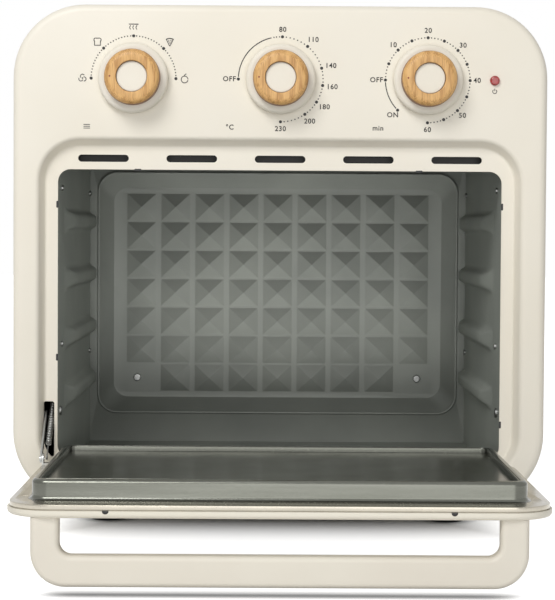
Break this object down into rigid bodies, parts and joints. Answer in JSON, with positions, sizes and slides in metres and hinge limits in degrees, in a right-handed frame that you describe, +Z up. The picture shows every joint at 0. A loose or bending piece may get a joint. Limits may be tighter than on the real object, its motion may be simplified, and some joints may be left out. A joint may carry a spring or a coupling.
{
  "type": "mini oven",
  "caption": "Cream countertop oven with a rounded case, a drop-down glass door with a bridge handle, and wood-ringed control knobs; door open.",
  "frame": {"origin": "on the surface that the feet stand on, under the middle of the whole outline with the door open", "axes": "+Z up, the door and knobs face -Y, +X to the right as seen from the front"},
  "size_m": [0.34, 0.5028, 0.341],
  "materials": {
    "cream_paint": "semi-matt cream stoving enamel",
    "cream_plastic": "satin cream moulded plastic",
    "beech_wood": "oiled pale wood with fine grain",
    "cavity_coating": "satin grey coated steel sheet",
    "polished_steel": "polished stainless steel, slightly wavy",
    "zinc_steel": "zinc-plated steel",
    "spring_steel": "drawn spring wire",
    "sheath_steel": "dull heat-darkened steel sheath",
    "white_ceramic": "unglazed white ceramic",
    "tinted_glass": "dark tinted tempered glass with a fine speckle",
    "grey_silicone": "grey heat-proof silicone",
    "black_rubber": "black moulded rubber",
    "fan_aluminium": "plain aluminium sheet",
    "shaft_steel": "turned steel",
    "motor_steel": "laminated steel with a pressed cover",
    "dark_plastic": "black moulded plastic",
    "red_lens": "translucent red lens"
  },
  "bodies": {
    "case": {"front_fascia": "cream_paint", "case_wrapper": "cream_paint", "rear_cover": "cream_paint", "bottom_plate": "cream_paint", "cavity_left_wall": "cavity_coating", "cavity_right_wall": "cavity_coating", "cavity_floor": "cavity_coating", "cavity_ceiling": "cavity_coating", "cavity_back": "cavity_coating", "spring_anchor": "zinc_steel", "hinge_pin_left": "zinc_steel", "hinge_pin_right": "zinc_steel", "cavity_rivets": "zinc_steel", "cavity_back_screws": "zinc_steel", "foot_screws": "zinc_steel", "rear_screws": "zinc_steel", "fan_housing": "zinc_steel", "fan_guard": "zinc_steel", "upper_heating_element": "sheath_steel", "lower_heating_element": "sheath_steel", "element_insulators": "white_ceramic", "terminal_block": "white_ceramic", "foot_front_left": "black_rubber", "foot_front_right": "black_rubber", "foot_back_left": "black_rubber", "foot_back_right": "black_rubber", "cord_gland": "black_rubber", "fan_motor": "motor_steel", "function_switch": "dark_plastic", "thermostat": "dark_plastic", "timer": "dark_plastic", "power_lamp_holder": "dark_plastic", "power_lamp_lens": "red_lens"},
    "door": {"door_frame": "cream_paint", "door_inner_plate": "polished_steel", "door_ring": "polished_steel", "door_glass": "tinted_glass", "glass_seal": "grey_silicone", "handle": "cream_plastic", "handle_screws": "zinc_steel", "hinge_ear": "zinc_steel", "ear_pin": "zinc_steel"},
    "door_link": {"hinge_link": "zinc_steel", "hinge_spring": "spring_steel"},
    "function_dial": {"function_knob": "cream_plastic", "function_knob_wood_ring": "beech_wood", "function_knob_cap": "cream_plastic", "function_shaft": "shaft_steel"},
    "temperature_dial": {"temperature_knob": "cream_plastic", "temperature_knob_wood_ring": "beech_wood", "temperature_knob_cap": "cream_plastic", "temperature_shaft": "shaft_steel"},
    "timer_dial": {"timer_knob": "cream_plastic", "timer_knob_wood_ring": "beech_wood", "timer_knob_cap": "cream_plastic", "timer_shaft": "shaft_steel"},
    "fan": {"fan_blades": "fan_aluminium", "fan_shaft": "shaft_steel"}
  },
  "joints": [
    {"name": "door_hinge", "type": "hinge", "parent": "case", "child": "door", "pos_m": [0, -0.0456, 0.0468], "axis": [-1, 0, 0], "range_deg": [0, 90], "deforming": ["hinge_spring"]},
    {"name": "link_pivot", "type": "hinge", "parent": "door", "child": "door_link", "pos_m": [-0.1501, -0.0656, 0.0535], "axis": [-1, 0, 0], "range_deg": [-96.62, 0]},
    {"name": "function_turn", "type": "hinge", "parent": "case", "child": "function_dial", "pos_m": [-0.0934, -0.0486, 0.294], "axis": [0, 1, 0], "range_deg": [0, 180]},
    {"name": "temperature_turn", "type": "hinge", "parent": "case", "child": "temperature_dial", "pos_m": [0, -0.0486, 0.294], "axis": [0, 1, 0], "range_deg": [0, 270]},
    {"name": "timer_turn", "type": "hinge", "parent": "case", "child": "timer_dial", "pos_m": [0.0934, -0.0486, 0.294], "axis": [0, 1, 0], "range_deg": [-45, 270]},
    {"name": "fan_spin", "type": "hinge", "parent": "case", "child": "fan", "pos_m": [0, 0.0794, 0.256], "axis": [0, 0, 1], "continuous": true}
  ],
  "couplings": [
    {"joint": "link_pivot", "follows": "door_hinge", "ratio": -1.0624}
  ]
}
